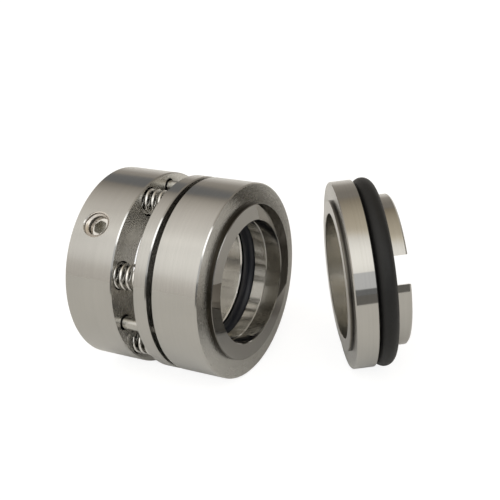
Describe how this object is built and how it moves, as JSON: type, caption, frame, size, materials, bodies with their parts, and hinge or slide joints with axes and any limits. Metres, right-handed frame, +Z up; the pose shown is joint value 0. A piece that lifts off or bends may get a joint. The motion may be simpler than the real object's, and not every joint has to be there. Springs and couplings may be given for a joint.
{
  "type": "component mechanical seal",
  "caption": "Multi-spring component mechanical seal for a pump shaft: turning head with collar, springs, pins and lapped face, and a fixed seat ring with an O-ring.",
  "frame": {"origin": "on the shaft's axis, at the middle of the collar's bore", "axes": "+X along the shaft toward the head's lapped face, +Z up from the surface that the seal lies on, and -Y the side that the picture shows"},
  "size_m": [0.1002, 0.0788, 0.0624],
  "materials": {
    "turned_steel": "fine-turned stainless steel",
    "lapped_face": "lapped to a mirror",
    "spring_steel": "drawn bright wire",
    "pin_steel": "ground bright",
    "screw_steel": "stainless steel, dull in the socket",
    "elastomer": "moulded, slightly glossy"
  },
  "bodies": {
    "collar_and_springs": {"collar": "turned_steel", "spring_1": "spring_steel", "spring_2": "spring_steel", "spring_3": "spring_steel", "spring_4": "spring_steel", "spring_5": "spring_steel", "spring_6": "spring_steel"},
    "front": {"compression_ring": "turned_steel", "drive_pin_1": "pin_steel", "drive_pin_2": "pin_steel", "drive_pin_3": "pin_steel", "shaft_o_ring": "elastomer", "seal_ring": "turned_steel", "seal_face": "lapped_face"},
    "screw_1": {"set_screw_1": "screw_steel"},
    "screw_2": {"set_screw_2": "screw_steel"},
    "screw_3": {"set_screw_3": "screw_steel"},
    "seat": {"seat_ring": "turned_steel", "seat_face": "lapped_face", "seat_o_ring": "elastomer"}
  },
  "joints": [
    {"name": "face_float", "type": "slide", "parent": "collar_and_springs", "child": "front", "axis": [-1, 0, 0], "range_m": [0, 0.0075], "stiffness_N_per_m": 17000, "springref_m": -0.001, "deforming": ["spring_1", "spring_2", "spring_3", "spring_4", "spring_5", "spring_6"]},
    {"name": "set_screw_1_feed", "type": "slide", "parent": "collar_and_springs", "child": "screw_1", "axis": [0, 0.6871, -0.7266], "range_m": [-0.0024, 0.0017]},
    {"name": "set_screw_2_feed", "type": "slide", "parent": "collar_and_springs", "child": "screw_2", "axis": [0, -0.9728, -0.2317], "range_m": [-0.0024, 0.0017]},
    {"name": "set_screw_3_feed", "type": "slide", "parent": "collar_and_springs", "child": "screw_3", "axis": [0, 0.2857, 0.9583], "range_m": [-0.0024, 0.0017]},
    {"name": "seat_turn", "type": "hinge", "parent": "collar_and_springs", "child": "seat", "pos_m": [0.0633, 0.0164, -0.00141], "axis": [-0.8297, -0.5576, -0.0263], "continuous": true}
  ]
}
